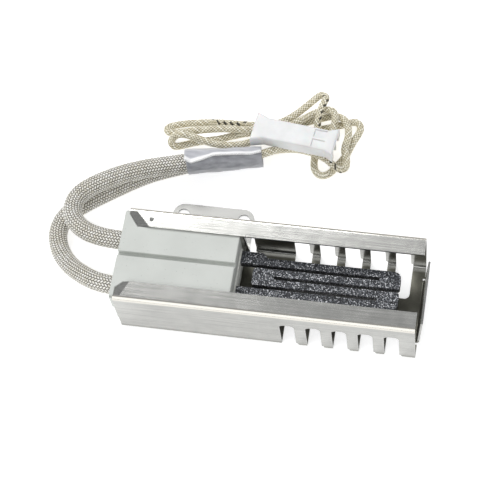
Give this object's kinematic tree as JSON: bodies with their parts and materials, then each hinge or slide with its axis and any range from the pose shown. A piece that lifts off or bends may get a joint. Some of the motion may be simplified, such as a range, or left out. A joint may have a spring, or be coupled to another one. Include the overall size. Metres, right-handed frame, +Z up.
{
  "type": "hot surface igniter",
  "caption": "Flat serpentine heating element in a ceramic block, held in a slotted folded steel cage with a mounting tab and sleeved leads that end in a small connector.",
  "frame": {"origin": "midway between the two mounting holes, on the underside of the mounting tab and floor", "axes": "+X along the cage from the ceramic block to the open end, +Y towards the mounting tab, +Z up out of the cage's open side"},
  "size_m": [0.1484, 0.107, 0.0254],
  "materials": {
    "steel": "cold-rolled sheet, bright zinc finish, finely brushed",
    "ceramic": "pressed steatite ceramic, matt",
    "silicon_carbide": "recrystallised silicon carbide, coarse sparkling grain",
    "cement": "refractory cement, matt",
    "nickel": "nickel sheet, plain",
    "sleeve_braid": "braided glass-fibre sleeve, silvery",
    "splice_wrap": "shrunk flexible tube, satin",
    "lead_braid": "braided glass-fibre lead, varnished",
    "housing": "moulded nylon, satin",
    "brass": "stamped sheet, plain"
  },
  "bodies": {
    "root": {"cage": "steel", "block_top_half": "ceramic", "block_bottom_half": "ceramic", "heating_element": "silicon_carbide", "pad_cement": "cement", "rear_pad_clip": "nickel", "front_pad_clip": "nickel", "rear_sleeve": "sleeve_braid", "front_sleeve": "sleeve_braid", "splice_tube": "splice_wrap", "upper_splice_crimp": "nickel", "lower_splice_crimp": "nickel", "tracer_lead": "lead_braid", "plain_lead": "lead_braid", "tracer_lead_hank": "lead_braid", "plain_lead_hank": "lead_braid", "connector_housing": "housing", "rear_terminal": "brass", "front_terminal": "brass"}
  },
  "joints": []
}
